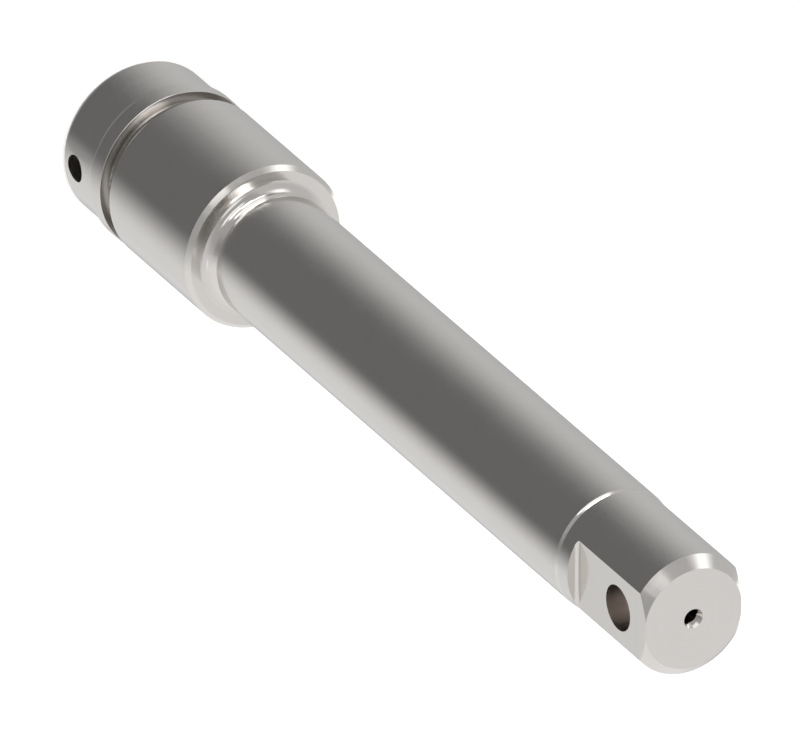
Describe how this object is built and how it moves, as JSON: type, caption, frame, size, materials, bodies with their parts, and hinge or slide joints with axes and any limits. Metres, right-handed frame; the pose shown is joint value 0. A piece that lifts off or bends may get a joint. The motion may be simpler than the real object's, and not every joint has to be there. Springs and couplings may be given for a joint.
{
  "type": "control piston",
  "caption": "Steel control piston: grooved guide head with a cross hole, long round rod and a flatted tongue with a pivot bore.",
  "frame": {"origin": "centre of the head's end face, on which the piston stands", "axes": "+Z along the piston's axis from head to tongue; the pivot bore and the head's cross hole run along Y"},
  "size_m": [0.0376, 0.0374, 0.2364],
  "materials": {
    "steel": "fine ground, bare"
  },
  "bodies": {
    "root": {"control_piston": "steel"}
  },
  "joints": []
}
